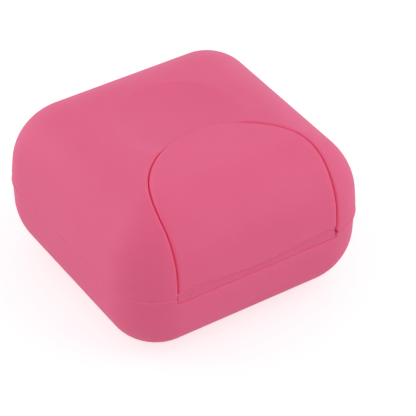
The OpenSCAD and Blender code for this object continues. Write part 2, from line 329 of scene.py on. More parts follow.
@dataclass(frozen=True)
class Edges:
    """Radii of moulded edges and fillets, in millimetres."""

    crisp: float = 0.1
    keen: float = 0.12
    sharp: float = 0.15
    small: float = 0.2
    firm: float = 0.25
    plain: float = 0.3
    easy: float = 0.4
    full: float = 0.5
    fillet: float = 0.7


LID_FORM = Pillow(Side.LID, start=19.3, side_h=5.8, draft=0.082, run=13.4, rise=14.9)
BASE_FORM = Pillow(Side.BASE, start=19.2, side_h=5.2, draft=0.028, run=11.5, rise=14.0, step=0.3)
SIZES = Sizes()
EDGES = Edges()


# Turning distances into meshes


@dataclass(frozen=True)
class Skinner:
    """Nets a surface through a lattice and fits it to the true form.

    Attributes:
        step: Lattice spacing in millimetres.
        most: Most triangles that the finished mesh keeps.
        rounds: How often the net is evened out.
        reach: Half the distance over which a gradient is taken for a move.
        wide_reach: The same for a normal.
        layers: Layers of the lattice worked out at a time.
        workers: Stacks of layers worked out side by side.
        margins: Lattice steps left free below and above the solid.
        stride: Longest move in one go, as a share of the lattice spacing.
        pull: Share of the way to its neighbours' mean that a point goes.
    """

    step: float
    most: int
    rounds: int = 3
    reach: float = 0.01
    wide_reach: float = 0.02
    layers: int = 6
    workers: int = 4
    margins: Pair = (2.37, 2.5)
    stride: float = 0.5
    pull: float = 0.5

    def lattice(self, form: Field, low: Array, counts: Array) -> Array:
        """Distances at every lattice point, worked out in layers side by side.

        Args:
            form: Distance to the solid.
            low: Lowest corner of the lattice.
            counts: Number of points along each axis.

        Returns:
            Distances, one for each lattice point.
        """
        axes = [low[i] + self.step * np.arange(counts[i], dtype=np.float32) for i in range(3)]
        y, z = axes[1][None, :, None], axes[2][None, None, :]

        def work(start: int) -> Array:
            """Works out one stack of layers.

            Args:
                start: Number of its first layer.

            Returns:
                Distances in the stack.
            """
            x = axes[0][start : start + self.layers, None, None]
            shape = (len(x), counts[1], counts[2])
            return np.broadcast_to(form(x, y, z), shape).astype(np.float32)

        with ThreadPoolExecutor(self.workers) as pool:
            return np.concatenate(list(pool.map(work, range(0, counts[0], self.layers))))

    def net(self, values: Array, low: Array) -> tuple[Array, Array]:
        """One point in each lattice cell that the surface crosses, joined by quads.

        Args:
            values: Distances at the lattice points.
            low: Lowest corner of the lattice.

        Returns:
            Points and quads, facing outwards.
        """
        inside = values < 0
        shape = np.array(values.shape) - 1
        corners = [(i, j, k) for i in (0, 1) for j in (0, 1) for k in (0, 1)]
        count = np.zeros(shape, np.int8)
        for i, j, k in corners:
            count += inside[i : i + shape[0], j : j + shape[1], k : k + shape[2]]
        cells = np.argwhere((count > 0) & (count < len(corners)))
        index = np.full(shape, -1, np.int32)
        index[tuple(cells.T)] = np.arange(len(cells))
        total = np.zeros((len(cells), 3))
        hits = np.zeros(len(cells))
        for p in corners:
            for axis in range(3):
                if p[axis]:
                    continue
                a = cells + p
                b = a.copy()
                b[:, axis] += 1
                va, vb = values[tuple(a.T)].astype(float), values[tuple(b.T)].astype(float)
                crossed = (va < 0) != (vb < 0)
                share = np.where(crossed, va / np.where(crossed, va - vb, 1), 0)
                at = a.astype(float)
                at[:, axis] += share
                total += at * crossed[:, None]
                hits += crossed
        points = low + self.step * total / hits[:, None]
        quads = []
        for axis in range(3):
            b, c = (axis + 1) % 3, (axis + 2) % 3
            front = [slice(None)] * 3
            back = [slice(None)] * 3
            front[axis], back[axis] = slice(None, -1), slice(1, None)
            near, far = inside[tuple(front)], inside[tuple(back)]
            edges = np.argwhere(near != far)
            ring = []
            for db, dc in ((1, 1), (0, 1), (0, 0), (1, 0)):
                cell = edges.copy()
                cell[:, b] -= db
                cell[:, c] -= dc
                ring.append(index[tuple(cell.T)])
            quad = np.stack(ring, axis=1)
            flip = ~near[tuple(edges.T)]
            quad[flip] = quad[flip][:, ::-1]
            quads.append(quad)
        return points, np.concatenate(quads)

    @staticmethod
    def slope(form: Field, points: Array, reach: float) -> tuple[Array, Array]:
        """Distance and its gradient at scattered points.

        Args:
            form: Distance to the solid.
            points: Points, one in each row.
            reach: Half the distance over which the gradient is taken.

        Returns:
            Distances and gradients.
        """
        columns = points.T
        here = form(*columns)
        gradient = np.empty_like(points)
        for axis in range(3):
            ahead, behind = columns.copy(), columns.copy()
            ahead[axis] += reach
            behind[axis] -= reach
            gradient[:, axis] = (form(*ahead) - form(*behind)) / (2 * reach)
        return here, gradient

    def settle(self, form: Field, points: Array, steps: int = 2) -> Array:
        """Moves points onto the surface.

        Args:
            form: Distance to the solid.
            points: Points close to the surface.
            steps: Number of moves.

        Returns:
            Points on the surface.
        """
        for _ in range(steps):
            here, gradient = self.slope(form, points, self.reach)
            steep = np.maximum((gradient**2).sum(axis=1), 0.05)
            move = -(here / steep)[:, None] * gradient
            length = np.maximum(np.linalg.norm(move, axis=1), 1e-12)
            points = points + move * np.minimum(1, self.stride * self.step / length)[:, None]
        return points

    def even(self, form: Field, points: Array, quads: Array) -> Array:
        """Spreads the net's points evenly along the surface.

        Args:
            form: Distance to the solid.
            points: Points on the surface.
            quads: Their quads.

        Returns:
            Points on the surface, more evenly spread.
        """
        ends = np.concatenate([quads[:, [i, (i + 1) % 4]] for i in range(4)])
        count = np.maximum(np.bincount(ends[:, 0], minlength=len(points)), 1)
        for _ in range(self.rounds):
            sums = [np.bincount(ends[:, 0], points[ends[:, 1], i], len(points)) for i in range(3)]
            mean = np.stack(sums, axis=1)
            move = mean / count[:, None] - points
            _, gradient = self.slope(form, points, self.wide_reach)
            length = np.maximum(np.linalg.norm(gradient, axis=1), 1e-9)
            normal = gradient / length[:, None]
            move -= (move * normal).sum(axis=1)[:, None] * normal
            points = self.settle(form, points + self.pull * move, 1)
        return points

    def build(
        self, name: str, form: Field, low: list[float], high: list[float]
    ) -> bpy.types.Object:
        """Makes the mesh of a solid.

        Args:
            name: Name of the piece.
            form: Distance to the solid, in millimetres.
            low: Lowest corner of the solid.
            high: Highest corner of the solid.

        Returns:
            Object with the finished mesh, in metres, shaded by the true normals.
        """
        below, above = self.margins
        start = np.array(low) - below * self.step
        counts = np.ceil((np.array(high) + above * self.step - start) / self.step).astype(int) + 1
        points, quads = self.net(self.lattice(form, start.astype(np.float32), counts), start)
        points = self.even(form, self.settle(form, points), quads)
        mesh = bpy.data.meshes.new(name)
        mesh.from_pydata(points.tolist(), [], quads.tolist())
        piece = new_object(name, mesh)
        share = self.most / (2 * len(quads))
        if share < 1:
            thin = piece.modifiers.new("thin", "DECIMATE")
            thin.ratio = share
            piece = plain_copy(piece, name)
            mesh = piece.data
        flat = np.empty(3 * len(mesh.vertices))
        mesh.vertices.foreach_get("co", flat)
        points = self.settle(form, flat.reshape(-1, 3), 3)
        _, gradient = self.slope(form, points, self.wide_reach)
        normals = gradient / np.maximum(np.linalg.norm(gradient, axis=1), 1e-9)[:, None]
        mesh.vertices.foreach_set("co", (points * MM).ravel())
        mesh.polygons.foreach_set("use_smooth", [True] * len(mesh.polygons))
        mesh.update()
        mesh.normals_split_custom_set_from_vertices(normals.tolist())
        return piece


def new_object(name: str, data: bpy.types.ID) -> bpy.types.Object:
    """Adds an object to the scene.

    Args:
        name: Name of the object.
        data: Its mesh, lamp or camera.

    Returns:
        The new object.
    """
    made = bpy.data.objects.new(name, data)
    bpy.context.scene.collection.objects.link(made)
    return made


def plain_copy(source: bpy.types.Object, name: str) -> bpy.types.Object:
    """Replaces an object by one whose plain mesh is its evaluated result.

    Args:
        source: Object with live modifiers, which is removed.
        name: Name of the new object.

    Returns:
        Object without modifiers.
    """
    graph = bpy.context.evaluated_depsgraph_get()
    graph.update()
    mesh = bpy.data.meshes.new_from_object(source.evaluated_get(graph), depsgraph=graph)
    bpy.data.objects.remove(source)
    mesh.name = name
    return new_object(name, mesh)


# Node trees


class Kind(Enum):
    """Socket kinds of a node group's inputs and outputs."""

    NUMBER = "NodeSocketFloat"
    COUNT = "NodeSocketInt"
    COLOR = "NodeSocketColor"
    VECTOR = "NodeSocketVector"
    SHAPE = "NodeSocketGeometry"
    FINISH = "NodeSocketMaterial"


Labels = dict[Kind, tuple[str, ...]]


@dataclass
class Tree:
    """A shader tree being wired."""

    kind: ClassVar[str] = "ShaderNodeTree"
    tree: bpy.types.NodeTree

    @classmethod
    def group(
        cls, name: str, inputs: Labels, outputs: Labels
    ) -> tuple[Self, bpy.types.Node, bpy.types.Node]:
        """Starts a node group with named inputs and outputs.

        Args:
            name: Name of the group.
            inputs: Names of the inputs by kind.
            outputs: Names of the outputs by kind.

        Returns:
            The tree, its group input and its group output.
        """
        group = bpy.data.node_groups.new(name, cls.kind)
        for direction, sockets in (("INPUT", inputs), ("OUTPUT", outputs)):
            for kind, labels in sockets.items():
                for label in labels:
                    group.interface.new_socket(label, in_out=direction, socket_type=kind.value)
        tree = cls(group)
        return tree, tree.add("NodeGroupInput"), tree.add("NodeGroupOutput")

    def add(self, kind: str, inputs: dict | None = None, **settings: object) -> bpy.types.Node:
        """Adds a node.

        Args:
            kind: Blender's name for the node's type.
            inputs: Values or sockets for its inputs, by name or number.
            settings: Values for its own settings.

        Returns:
            The new node.
        """
        made = self.tree.nodes.new(kind)
        for key, value in settings.items():
            setattr(made, key, value)
        for key, value in (inputs or {}).items():
            socket = made.inputs[key]
            if isinstance(value, Socket):
                self.tree.links.new(value, socket)
            else:
                socket.default_value = value
        return made

    def math(self, operation: str, *values: Value) -> Socket:
        """Result of Blender's operation of that name on numbers or sockets."""
        kind = "ShaderNodeMath"
        return self.add(kind, dict(enumerate(values)), operation=operation).outputs[0]


@dataclass
class ShapeTree(Tree):
    """A geometry tree being wired, with the steps that its shapes share."""

    kind: ClassVar[str] = "GeometryNodeTree"

    def combine(self, x: Value = 0.0, y: Value = 0.0, z: Value = 0.0) -> Socket:
        """A vector from three numbers or sockets."""
        return self.add("ShaderNodeCombineXYZ", {0: x, 1: y, 2: z}).outputs[0]

    def join(self, first: Socket, second: Socket) -> Socket:
        """Puts two shapes together.

        Args:
            first: The first shape.
            second: The second shape.

        Returns:
            Both in one.
        """
        joined = self.add("GeometryNodeJoinGeometry", {0: first})
        self.tree.links.new(second, joined.inputs[0])
        return joined.outputs[0]

    def fillet(self, curve: Socket, radius: Value, steps: int) -> Socket:
        """Rounds a curve's corners.

        Args:
            curve: The curve.
            radius: Radius of the corners.
            steps: Points on each corner.

        Returns:
            The rounded curve.
        """
        inputs = {"Curve": curve, "Count": steps, "Radius": radius}
        return self.add("GeometryNodeFilletCurve", inputs, mode="POLY").outputs[0]

    def frame(self, wide: Value, deep: Value, radius: Value, steps: int) -> Socket:
        """Draws a rectangle with rounded corners.

        Args:
            wide: Its width.
            deep: Its depth.
            radius: Radius of the corners.
            steps: Points on each corner.

        Returns:
            The rectangle's curve.
        """
        course = self.add("GeometryNodeCurvePrimitiveQuadrilateral", {0: wide, 1: deep})
        return self.fillet(course.outputs[0], radius, steps)

    def row(self, count: Value, pitch: Value) -> Socket:
        """Sets points in a row along X, about the middle.

        Args:
            count: Number of points.
            pitch: Distance from one to the next.

        Returns:
            The points.
        """
        length = self.math("MULTIPLY", self.math("SUBTRACT", count, 1.0), pitch)
        start = self.combine(x=self.math("MULTIPLY", length, -0.5))
        inputs = {"Count": count, "Start Location": start, "Offset": self.combine(x=pitch)}
        return self.add("GeometryNodeMeshLine", inputs, mode="OFFSET").outputs[0]

    def solid(self, face: Socket, thick: Value, weld: float = 1e-6) -> Socket:
        """Pushes flat faces up along their normal into a closed solid.

        Args:
            face: The flat faces.
            thick: How far they are pushed.
            weld: Distance within which points become one.

        Returns:
            The solid.
        """
        inputs = {"Mesh": face, "Offset Scale": thick, "Individual": False}
        pushed = self.add("GeometryNodeExtrudeMesh", inputs)
        under = self.add("GeometryNodeFlipFaces", {0: face})
        inputs = {"Geometry": self.join(pushed.outputs[0], under.outputs[0]), "Distance": weld}
        return self.add("GeometryNodeMergeByDistance", inputs).outputs[0]

    def spread(self, points: Socket, shape: Socket) -> Socket:
        """Sets a shape on every point."""
        inputs = {"Points": points, "Instance": shape}
        return self.add("GeometryNodeInstanceOnPoints", inputs).outputs[0]

    def close(self, shape: Socket, given: bpy.types.Node, result: bpy.types.Node) -> None:
        """Moves the shape to its centre, makes it real and gives it its finish.

        Args:
            shape: The shape, about the origin.
            given: The group input, with a centre and a finish.
            result: The group output.
        """
        size = given.outputs
        placed = self.add(
            "GeometryNodeTransform", {"Geometry": shape, "Translation": size["Centre"]}
        )
        real = self.add("GeometryNodeRealizeInstances", {0: placed.outputs[0]})
        finish = self.add(
            "GeometryNodeSetMaterial", {"Geometry": real.outputs[0], "Material": size["Finish"]}
        )
        self.tree.links.new(finish.outputs[0], result.inputs[0])


# Finishes


def surface_grain() -> bpy.types.NodeTree:
    """Group that breaks up a moulded or drawn surface.

    Returns:
        Group whose outputs are a colour, a roughness and a height.
    """
    tree, given, result = Tree.group(
        "surface_grain",
        {
            Kind.COLOR: ("Tint", "Deep Tint"),
            Kind.VECTOR: ("Stretch",),
            Kind.NUMBER: ("Cloud Scale", "Grain Scale", "Smoothest", "Roughest"),
        },
        {Kind.COLOR: ("Color",), Kind.NUMBER: ("Roughness", "Height")},
    )
    asked = given.outputs
    place = tree.add("ShaderNodeTexCoord").outputs["Object"]
    drawn = tree.add(
        "ShaderNodeVectorMath", {0: place, 1: asked["Stretch"]}, operation="MULTIPLY"
    ).outputs[0]
    cloud = tree.add(
        "ShaderNodeTexNoise", {"Vector": drawn, "Scale": asked["Cloud Scale"], "Detail": 3.0}
    ).outputs[0]
    grain = tree.add(
        "ShaderNodeTexNoise",
        {"Vector": drawn, "Scale": asked["Grain Scale"], "Detail": 4.0, "Roughness": 0.6},
    ).outputs[0]
    spots = tree.add(
        "ShaderNodeTexVoronoi", {"Vector": drawn, "Scale": asked["Grain Scale"]}
    ).outputs[0]
    blend = tree.add(
        "ShaderNodeMapRange",
        {"Value": cloud, "From Min": 0.32, "From Max": 0.68, "To Min": 0.0, "To Max": 1.0},
        interpolation_type="SMOOTHSTEP",
    ).outputs[0]
    # Inputs 6 and 7 and output 2 are the mix node's colour sockets
    mixed = tree.add(
        "ShaderNodeMix", {0: blend, 6: asked["Tint"], 7: asked["Deep Tint"]}, data_type="RGBA"
    ).outputs[2]
    rough = tree.add(
        "ShaderNodeMapRange",
        {
            "Value": tree.math("MULTIPLY_ADD", grain, 0.5, tree.math("MULTIPLY", cloud, 0.5)),
            "From Min": 0.3,
            "From Max": 0.7,
            "To Min": asked["Smoothest"],
            "To Max": asked["Roughest"],
        },
    ).outputs[0]
    height = tree.math("MULTIPLY_ADD", spots, 0.4, tree.math("MULTIPLY", grain, 0.6))
    for label, value in (("Color", mixed), ("Roughness", rough), ("Height", height)):
        tree.tree.links.new(value, result.inputs[label])
    return tree.tree


@dataclass(frozen=True)
class Finish:
    """A finish: its colours, how it shines and how fine its grain is.

    Attributes:
        name: Name of the material.
        tint: Colour of most of the surface, linear.
        deep: Colour of its slightly deeper clouds, linear.
        smooth: Least roughness.
        rough: Greatest roughness.
        grain: Grains to a metre.
        relief: Height of the grain in metres.
        cloud: Clouds to a metre.
        stretch: How the grain is drawn out along each axis.
        metal: 1 for bare metal, else 0.
        ior: Index of refraction.
        sub: Share of light that scatters under the surface.
        sub_depth: How deep it scatters, in metres.
        sub_reach: Share of that depth for red, green and blue.
        gloss: Strength of the mirror-like part, 0.5 for the plain value.
        glow: Strength of a red emission, painted light that brightens the shade in slits, creases
            and gaps.
        painted_light_tint: Colour of that painted red light.
    """

    name: str
    tint: tuple[float, float, float]
    deep: tuple[float, float, float]
    smooth: float
    rough: float
    grain: float
    relief: float
    cloud: float = 60.0
    stretch: tuple[float, float, float] = (1.0, 1.0, 1.0)
    metal: float = 0.0
    ior: float = 1.46
    sub: float = 0.0
    sub_depth: float = 0.0016
    sub_reach: tuple[float, float, float] = (1.0, 0.28, 0.34)
    gloss: float = 0.5
    # The glow below is painted red light: an emission that brightens the shaded slits, creases
    # and gaps.
    glow: float = 0.0
    painted_light_tint: tuple[float, float, float] = (1.0, 0.05, 0.1)

    def material(self, grain: bpy.types.NodeTree) -> bpy.types.Material:
        """Builds the material.

        Args:
            grain: The shared surface group.

        Returns:
            The finished material.
        """
        made = bpy.data.materials.new(self.name)
        made.use_nodes = True
        made.diffuse_color = (*self.tint, 1.0)
        tree = Tree(made.node_tree)
        shader = made.node_tree.nodes["Principled BSDF"]
        surface = tree.add("ShaderNodeGroup", node_tree=grain)
        for label, value in {
            "Tint": (*self.tint, 1.0),
            "Deep Tint": (*self.deep, 1.0),
            "Stretch": self.stretch,
            "Cloud Scale": self.cloud,
            "Grain Scale": self.grain,
            "Smoothest": self.smooth,
            "Roughest": self.rough,
        }.items():
            surface.inputs[label].default_value = value
        bump = tree.add(
            "ShaderNodeBump",
            {"Height": surface.outputs["Height"], "Distance": self.relief, "Strength": 1.0},
        )
        links = made.node_tree.links
        links.new(surface.outputs["Color"], shader.inputs["Base Color"])
        links.new(surface.outputs["Roughness"], shader.inputs["Roughness"])
        links.new(bump.outputs["Normal"], shader.inputs["Normal"])
        for label, value in {
            "Metallic": self.metal,
            "IOR": self.ior,
            "Subsurface Weight": self.sub,
            "Subsurface Radius": self.sub_reach,
            "Subsurface Scale": self.sub_depth,
            "Specular IOR Level": self.gloss,
            # Emission: painted red light that brightens the shaded slits and creases.
            "Emission Color": (*self.painted_light_tint, 1.0),
            "Emission Strength": self.glow,
        }.items():
            shader.inputs[label].default_value = value
        return made


PINK = Finish(
    "satin_pink_plastic",
    tint=(0.745, 0.1513, 0.2979),
    deep=(0.73, 0.1450, 0.2878),
    smooth=0.46,
    rough=0.56,
    grain=2600.0,
    relief=0.000012,
    sub=0.7,
    gloss=0.3,
    # glow: painted red light that brightens the shaded slits and creases.
    glow=0.14,
)
RACK_PINK = Finish(
    "fine_matt_pink_plastic",
    tint=(0.725, 0.1476, 0.2911),
    deep=(0.705, 0.1396, 0.2779),
    smooth=0.5,
    rough=0.6,
    grain=2000.0,
    relief=0.00002,
    sub=0.7,
    gloss=0.3,
    # glow: painted red light that brightens the shaded slits and creases.
    glow=0.14,
)
SILICONE = Finish(
    "milky_silicone",
    tint=(0.84, 0.82, 0.78),
    deep=(0.8, 0.775, 0.73),
    smooth=0.5,
    rough=0.66,
    grain=3200.0,
    relief=0.00001,
    ior=1.41,
    sub=0.3,
)
STEEL = Finish(
    "drawn_steel",
    tint=(0.62, 0.625, 0.63),
    deep=(0.52, 0.525, 0.535),
    smooth=0.2,
    rough=0.36,
    grain=5200.0,
    relief=0.000004,
    cloud=900.0,
    stretch=(0.06, 1.0, 1.0),
    metal=1.0,
)


def dress(
    piece: bpy.types.Object, material: bpy.types.Material, body: Part, node: str
) -> None:
    """Finishes a piece, sets it on its body and lets it stand for its CAD node.

    Args:
        piece: The piece.
        material: Its material.
        body: The moving part that it rides on.
        node: The CAD node that it replaces.
    """
    piece.data.materials.clear()
    piece.data.materials.append(material)
    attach(piece, body.value)
    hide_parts(node)
    log.info("%s: %d faces on %s for %s", piece.name, len(piece.data.polygons), body.value, node)


# The box's own pieces


@dataclass(frozen=True)
class Knuckles:
    """Hinge knuckles on one half of the box, with webs that run out into the wall."""

    side: Side
    wall_y: float
    inner_y: float = 30.6
    sunk: float = 0.1

    def web(self, y: Array, z: Array) -> Array:
        """Distance seen along the hinge to the web, without the knuckle's round.

        Args:
            y: Coordinate front to back.
            z: Height.

        Returns:
            Distance to the web's outline.
        """
        up = self.side.value
        centre = np.array([SIZES.hinge_y, SIZES.hinge_z])
        root = np.array([self.wall_y - self.sunk, SIZES.hinge_z + up * SIZES.web_h])
        d = centre - root
        length = float(np.hypot(*d))
        angle = math.atan2(d[1], d[0]) + up * math.asin(SIZES.knuckle_r / length)
        out = (-up * math.sin(angle), up * math.cos(angle))
        slope = (y - root[0]) * out[0] + (z - root[1]) * out[1]
        radial = (y - centre[0]) * math.cos(angle) + (z - centre[1]) * math.sin(angle)
        level = slab(up * (z - SIZES.hinge_z), 0, SIZES.web_h)
        return np.maximum(np.maximum(slope, radial), np.maximum(level, self.inner_y - y))

    def rounds(self, y: Array, z: Array) -> Array:
        """Distance seen along the hinge to the knuckle's round."""
        return SIZES.hinge_axis(y, z) - SIZES.knuckle_r


@dataclass
class Lid:
    """The domed lid: seat of the tongue, finger dish, flange and middle knuckle."""

    rim_r: float = 0.2
    lip_depth: float = 0.22
    lip_h: tuple[float, float, float] = (0.22, 0.5, 2.6)
    slit_r: float = 0.65
    hollow_r: float = 0.7
    dish_r: float = 14.8
    dish_y: float = 1.0
    dish_depth: float = 2.0
    dish_wall: float = 1.6
    dish_rim: float = 1.0
    dish_blend: float = 0.1
    flange_short: float = 0.6
    barrel_spare: float = 0.05
    bead_gap: float = 1.0
    pad_x: float = 16.3
    pad_t: float = 1.6
    knuckles: Knuckles = field(
        default_factory=lambda: Knuckles(Side.LID, LID_FORM.half_d - LID_FORM.draft * SIZES.web_h)
    )

    def kept(self, x: Array, y: Array, z: Array, near: Nearby) -> Array:
        """Distance to what stands inside the lid's hollow.

        Args:
            x: Coordinate across the box.
            y: Coordinate front to back.
            z: Height.
            near: The points against the lid's outer form.

        Returns:
            Distance to the flange, the walls under tongue and dish, and the hinge pad.
        """
        s, e = SIZES, EDGES
        flange = both(
            slab(z, s.flange_z, s.flange_z + s.flange_t),
            -s.seal_plan(x, y, self.flange_short - s.mouth_in),
            e.plain,
        )
        seat = both(
            s.tongue_plan(x, y, s.seat_r + s.seat_wall),
            -near.inward(s.seat_root + s.seat_wall, s.seat_tip + s.seat_wall),
            e.full,
        )
        dish = np.maximum(
            np.hypot(x, y - self.dish_y) - self.dish_r - self.dish_rim,
            s.top - self.dish_depth - self.dish_wall - z,
        )
        back = LID_FORM.half_d - s.wall - self.pad_t
        pad = np.maximum(
            np.maximum(np.abs(x) - self.pad_x, back - y), slab(z, s.flange_z, s.hinge_z + s.web_h)
        )
        return either(either(flange, pad, e.easy), either(seat, dish, e.easy), e.easy)

    def form(self, x: Array, y: Array, z: Array) -> Array:
        """Distance to the lid.

        Args:
            x: Coordinate across the box.
            y: Coordinate front to back.
            z: Height.

        Returns:
            Distance to its surface, negative inside.
        """
        s, e = SIZES, EDGES
        near = LID_FORM.near(x, y, z)
        hollow = without(near.inward(s.wall, s.wall), self.kept(x, y, z, near), self.hollow_r)
        middle = np.abs(x) - s.lid_knuckle
        web = both(self.knuckles.web(y, z), middle, e.plain)
        start, lip, fade = (s.seam + h for h in self.lip_h)
        cove = self.lip_depth * ease(z, start, lip) * (1 - ease(z, lip, fade))
        solid = without(either(near.skin + cove, web, e.fillet), hollow, e.small)
        solid = both(solid, s.seam - z, self.rim_r)
        solid = either(solid, both(self.knuckles.rounds(y, z), middle, e.plain))
        ball = (self.dish_r**2 + self.dish_depth**2) / (2 * self.dish_depth)
        over = z - (s.top - self.dish_depth + ball)
        dish = np.sqrt(x * x + (y - self.dish_y) ** 2 + over * over) - ball
        solid = soft_without(solid, dish, self.dish_blend)
        inward = near.inward(s.seat_root, s.seat_tip)
        seat = both(s.tongue_plan(x, y, s.seat_r), -inward, e.easy)
        solid = without(solid, seat, self.slit_r)
        barrel = s.latch_axis(y, z) - s.barrel_room - self.barrel_spare
        solid = without(solid, both(barrel, np.abs(x) - s.seat_r), e.firm)
        bead = np.hypot(y - s.bead_y - s.seat_root, z - s.seam - s.bead_up) - s.bead_r
        bead = both(bead, np.abs(x) - s.bead_l / 2 - self.bead_gap)
        solid = without(solid, bead, e.crisp)
        low, high = s.base_knuckle
        beside = slab(np.abs(x), low - s.knuckle_gap, high + s.knuckle_gap)
        room = both(s.hinge_axis(y, z) - s.knuckle_r - s.turn_gap, beside)
        solid = without(solid, room, e.sharp)
        return without(solid, s.hinge_axis(y, z) - s.lid_pin_r - s.pin_fit)


@dataclass
class Base:
    """The base: rim with the seal's groove, notch of the latch, posts and knuckles."""

    rim_r: float = 0.2
    notch_r: float = 0.3
    pocket_gap: float = -0.02
    lip_z: float = 17.9
    hollow_r: float = 0.9
    block_x: float = 24.85
    block_drop: float = 3.5
    block_lap: float = 0.4
    seal_side: float = 0.05
    throat: float = 0.8
    rack_z: float = 7.5
    post_r: float = 2.2
    post_x: float = 17.024
    post_y: tuple[float, float] = (-14.04, 15.99)
    foot_x: float = 17.4624
    foot_y: float = 16.8624
    foot_r: float = 3.617
    foot_w: float = 3.2
    foot_h: float = 0.4
    groove_w: float = 1.2
    groove_h: float = 0.5
    knuckles: Knuckles = field(
        default_factory=lambda: Knuckles(
            Side.BASE, BASE_FORM.half_d - BASE_FORM.step - BASE_FORM.draft * SIZES.web_h
        )
    )

    def kept(self, x: Array, y: Array, z: Array) -> Array:
        """Distance to what stands inside the base's hollow.

        Args:
            x: Coordinate across the box.
            y: Coordinate front to back.
            z: Height.

        Returns:
            Distance to the rim shelf, the block behind the latch and the rack's posts.
        """
        s, e = SIZES, EDGES
        shelf = both(s.rim - s.flange_t - z, -s.seal_plan(x, y, -s.mouth_in), e.plain)
        block = both(np.abs(x) - self.block_x, y - s.seal_low[1] - self.block_lap, e.full)
        block = both(block, s.latch_z - self.block_drop - z, e.full)
        low, high = self.post_y
        beside = np.abs(y - (low + high) / 2) - (high - low) / 2
        post = np.hypot(np.abs(x) - self.post_x, beside) - self.post_r
        post = both(post, z - self.rack_z, e.plain)
        return either(either(shelf, block, e.plain), post)

    def foot(self, x: Array, y: Array, inset: float) -> Array:
        """Distance seen from below to the foot rim's inner edge, set further in."""
        fx, fy = self.foot_x - inset, self.foot_y - inset
        return plate(x, y, (-fx, -fy), (fx, fy), self.foot_r - inset)

    def form(self, x: Array, y: Array, z: Array) -> Array:
        """Distance to the base.

        Args:
            x: Coordinate across the box.
            y: Coordinate front to back.
            z: Height.

        Returns:
            Distance to its surface, negative inside.
        """
        s, e = SIZES, EDGES
        near = BASE_FORM.near(x, y, z)
        hollow = without(near.inward(s.wall, s.wall), self.kept(x, y, z), self.hollow_r)
        low, high = s.base_knuckle
        ends = slab(np.abs(x), low, high)
        web = both(self.knuckles.web(y, z), ends, e.plain)
        solid = without(either(near.skin, web, e.fillet), hollow, e.small)
        solid = both(solid, z - s.rim, self.rim_r)
        solid = either(solid, both(self.knuckles.rounds(y, z), ends, e.plain))
        inner = s.seal_plan(x, y, -s.seal_w - self.seal_side)
        groove = both(both(s.seal_plan(x, y, self.seal_side), -inner), s.rim - s.seal_seat - z)
        solid = without(solid, groove, e.sharp)
        open_top = both(y - s.latch_y - s.barrel_room, self.lip_z - z)
        pocket = either(s.latch_axis(y, z) - s.barrel_r - self.pocket_gap, open_top)
        solid = without(solid, both(pocket, np.abs(x) - s.seat_r), self.notch_r)
        throat = np.array([-1, 1]) * self.throat * s.latch_pin_r
        snap = both(slab(y - s.latch_y, *throat), s.latch_z - z)
        seats = either(s.latch_axis(y, z) - s.latch_pin_r - s.pin_fit, snap)
        solid = without(solid, both(seats, np.abs(x) - s.seat_r - s.pin_reach), e.crisp)
        room = both(s.hinge_axis(y, z) - s.knuckle_r - s.turn_gap, np.abs(x) - low)
        solid = without(solid, room, e.sharp)
        solid = without(solid, s.hinge_axis(y, z) - s.lid_pin_r - s.pin_fit)
        solid = without(solid, both(-self.foot(x, y, -self.foot_w), z - self.foot_h), e.keen)
        ring = both(self.foot(x, y, 0), -self.foot(x, y, self.groove_w))
        return without(solid, both(ring, z - self.groove_h), e.small)


@dataclass
class Tongue:
    """The tongue latch: a slice of the lid's own form, a neck and the hinge barrel."""

    side_r: float = 0.65
    inner_r: float = 0.15
    edge_z: float = 19.89
    edge_rise: float = 1.11
    edge_turn: tuple[float, float] = (0.0, 17.0)
    foot_r: float = 0.8
    neck_y: float = -31.4
    barrel_y: float = -31.7
    barrel_lean: float = 0.2
    neck_top: float = 21.6
    neck_short: float = 0.3
    root_top: float = 20.7
    root_x: float = 21.68
    root_r: float = 0.3

    def form(self, x: Array, y: Array, z: Array) -> Array:
        """Distance to the tongue.

        Args:
            x: Coordinate across the box.
            y: Coordinate front to back.
            z: Height.

        Returns:
            Distance to its surface, negative inside.
        """
        s, e = SIZES, EDGES
        near = LID_FORM.near(x, y, z)
        plan = s.tongue_plan(x, y, s.tongue_r)
        outer = both(near.skin, plan, self.side_r)
        shell = without(outer, near.inward(s.root_t, s.tip_t), self.inner_r)
        edge = self.edge_z + self.edge_rise * ease(np.abs(x), *self.edge_turn) - z
        shell = both(shell, edge, self.foot_r)
        layer = both(slab(y, self.neck_y, s.root_t - LID_FORM.half_d), s.latch_z - z)
        neck = both(both(layer, z - self.neck_top), np.abs(x) - s.tongue_r + self.neck_short)
        face = self.barrel_y + self.barrel_lean * (z - s.latch_z)
        barrel = both(s.latch_axis(y, z) - s.barrel_r, face - y)
        root = either(both(layer, z - self.root_top), barrel, e.sharp)
        root = both(root, np.abs(x) - self.root_x, self.root_r)
        solid = either(shell, either(neck, root), e.keen)
        bead = np.hypot(y - s.bead_y - s.root_t, z - s.seam - s.bead_up) - s.bead_r
        bead = both(bead, np.abs(x) - s.bead_l / 2, e.small)
        solid = either(solid, bead, e.sharp)
        return without(solid, s.latch_axis(y, z) - s.latch_pin_r - s.pin_fit, e.crisp)


